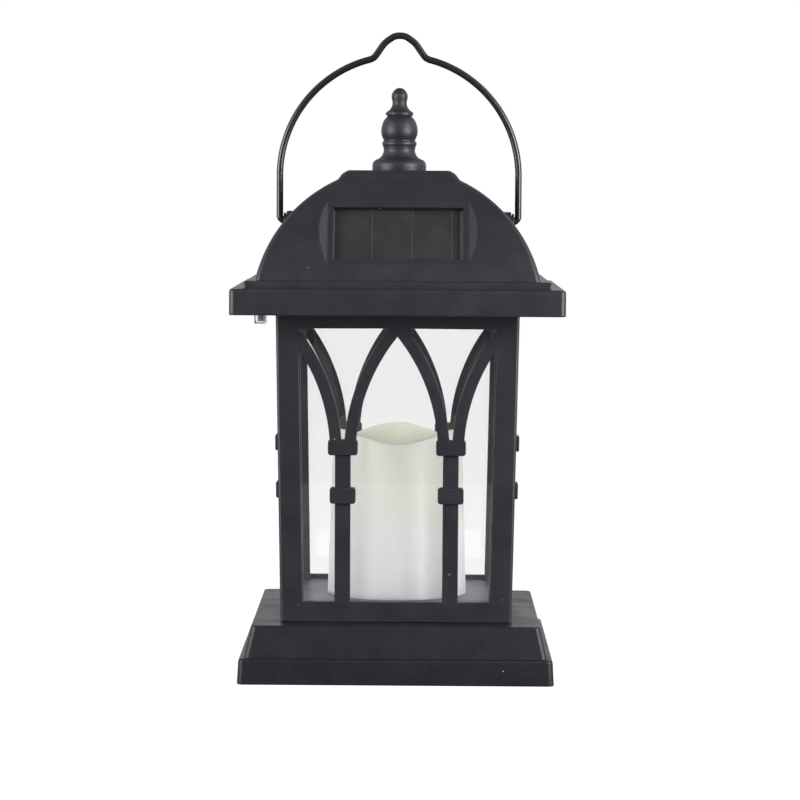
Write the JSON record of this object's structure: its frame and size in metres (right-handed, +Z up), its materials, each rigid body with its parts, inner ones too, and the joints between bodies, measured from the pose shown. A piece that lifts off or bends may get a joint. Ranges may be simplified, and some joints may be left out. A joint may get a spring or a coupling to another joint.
{
  "type": "solar garden light",
  "caption": "Square solar candle lantern with arched clear windows, domed roof with a solar panel, a turned finial and a wire bail handle.",
  "frame": {"origin": "centre of the base's underside, on the surface it stands on", "axes": "+Z up, -Y to the front, where the solar panel is, +X to the lantern's right as seen from the front"},
  "size_m": [0.143, 0.143, 0.2813],
  "materials": {
    "black_plastic": "fine moulded grain, charcoal black",
    "dark_plastic": "plain inner moulding",
    "clear_pane": "clear plastic sheet",
    "clear_boot": "soft clear boot",
    "candle_plastic": "translucent, waxy off-white",
    "steel": "zinc plated",
    "black_wire": "satin black coating",
    "solar_cells": "dark brown cells under clear resin",
    "board_green": "solder mask",
    "cell_sleeve": "plain sleeve",
    "copper": "copper winding",
    "switch_blue": "blue-grey moulding",
    "lead_red": "insulation",
    "lead_black": "insulation",
    "led_warm": "clear warm dome",
    "seal_grey": "sealant"
  },
  "bodies": {
    "root": {"back_window_frame": "black_plastic", "back_window_pane": "clear_pane", "base_cover": "black_plastic", "base_shell": "black_plastic", "battery_cell": "cell_sleeve", "battery_contact_plate": "steel", "battery_contact_spring": "steel", "battery_door": "dark_plastic", "battery_door_screw": "steel", "battery_holder": "dark_plastic", "battery_lead": "lead_red", "board_screw_left": "steel", "board_screw_right": "steel", "boost_inductor": "copper", "candle_base": "dark_plastic", "candle_shell": "candle_plastic", "circuit_board": "board_green", "controller_chip": "dark_plastic", "corner_post_1": "black_plastic", "corner_post_2": "black_plastic", "corner_post_3": "black_plastic", "corner_post_4": "black_plastic", "cover_screw_1": "steel", "cover_screw_2": "steel", "cover_screw_3": "steel", "cover_screw_4": "steel", "finial": "black_plastic", "finial_screw": "steel", "floor_plate": "dark_plastic", "front_window_frame": "black_plastic", "front_window_pane": "clear_pane", "led": "led_warm", "led_lead": "lead_red", "left_handle_bush": "dark_plastic", "left_window_frame": "black_plastic", "left_window_pane": "clear_pane", "post_screw_high_1": "steel", "post_screw_high_2": "steel", "post_screw_high_4": "steel", "post_screw_low_1": "steel", "post_screw_low_2": "steel", "post_screw_low_4": "steel", "right_handle_bush": "dark_plastic", "right_window_frame": "black_plastic", "right_window_pane": "clear_pane", "roof_shell": "black_plastic", "roof_tray": "dark_plastic", "solar_lead": "lead_black", "solar_panel": "solar_cells", "solar_seal": "seal_grey", "switch_body": "dark_plastic", "tray_screw_1": "steel", "tray_screw_2": "steel", "tray_screw_3": "steel", "tray_screw_4": "steel"},
    "handle": {"handle": "black_wire"},
    "switch_button": {"switch_plunger": "switch_blue", "switch_boot": "clear_boot"}
  },
  "joints": [
    {"name": "handle_pivot", "type": "hinge", "parent": "root", "child": "handle", "pos_m": [0, 0, 0.1975], "axis": [1, 0, 0], "range_deg": [-83, 83]},
    {"name": "switch_press", "type": "slide", "parent": "root", "child": "switch_button", "axis": [0, 0, 1], "range_m": [0, 0.0012], "stiffness_N_per_m": 800}
  ]
}
